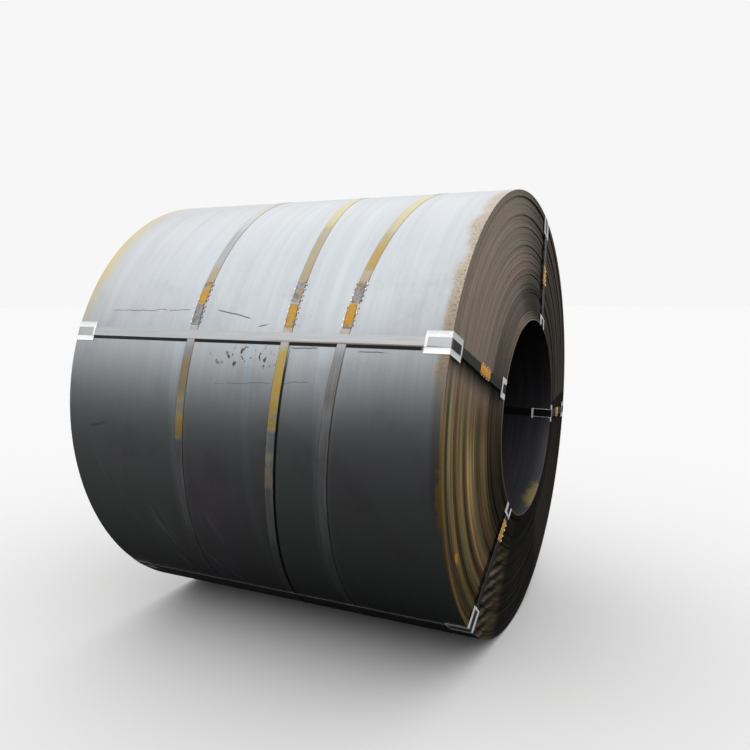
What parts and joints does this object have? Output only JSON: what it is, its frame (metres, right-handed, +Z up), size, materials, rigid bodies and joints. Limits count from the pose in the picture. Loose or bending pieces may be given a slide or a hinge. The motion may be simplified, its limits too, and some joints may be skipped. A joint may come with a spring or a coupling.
{
  "type": "steel coil",
  "caption": "Coil of hot-rolled steel strip lying on its round side, held by bands round it and by straps through its bore over bent edge guards.",
  "frame": {"origin": "centre of the bottom of the bounding box, on the floor that the coil lies on", "axes": "+X along the coil's axis towards the front end, where the first turns stand out; +Z up"},
  "size_m": [1.5458, 1.7276, 1.7276],
  "materials": {
    "hot_rolled_steel": "matte",
    "strapping_steel": "matte",
    "seal_steel": "matte",
    "galvanised_sheet": "satin"
  },
  "bodies": {
    "root": {"coil_body": "hot_rolled_steel", "band_1": "strapping_steel", "band_2": "strapping_steel", "band_3": "strapping_steel", "upper_band_seal_1": "seal_steel", "upper_band_seal_2": "seal_steel", "upper_band_seal_3": "seal_steel", "lower_band_seal_1": "seal_steel", "lower_band_seal_2": "seal_steel", "lower_band_seal_3": "seal_steel", "eye_strap_1": "strapping_steel", "eye_strap_2": "strapping_steel", "eye_strap_3": "strapping_steel", "eye_strap_4": "strapping_steel", "eye_seal_1": "seal_steel", "eye_seal_2": "seal_steel", "eye_seal_3": "seal_steel", "eye_seal_4": "seal_steel", "front_guard_1": "galvanised_sheet", "front_guard_2": "galvanised_sheet", "front_guard_3": "galvanised_sheet", "front_guard_4": "galvanised_sheet", "back_guard_1": "galvanised_sheet", "back_guard_2": "galvanised_sheet", "back_guard_3": "galvanised_sheet", "back_guard_4": "galvanised_sheet", "front_bore_guard_1": "galvanised_sheet", "front_bore_guard_2": "galvanised_sheet", "front_bore_guard_3": "galvanised_sheet", "front_bore_guard_4": "galvanised_sheet", "back_bore_guard_1": "galvanised_sheet", "back_bore_guard_2": "galvanised_sheet", "back_bore_guard_3": "galvanised_sheet", "back_bore_guard_4": "galvanised_sheet"}
  },
  "joints": []
}
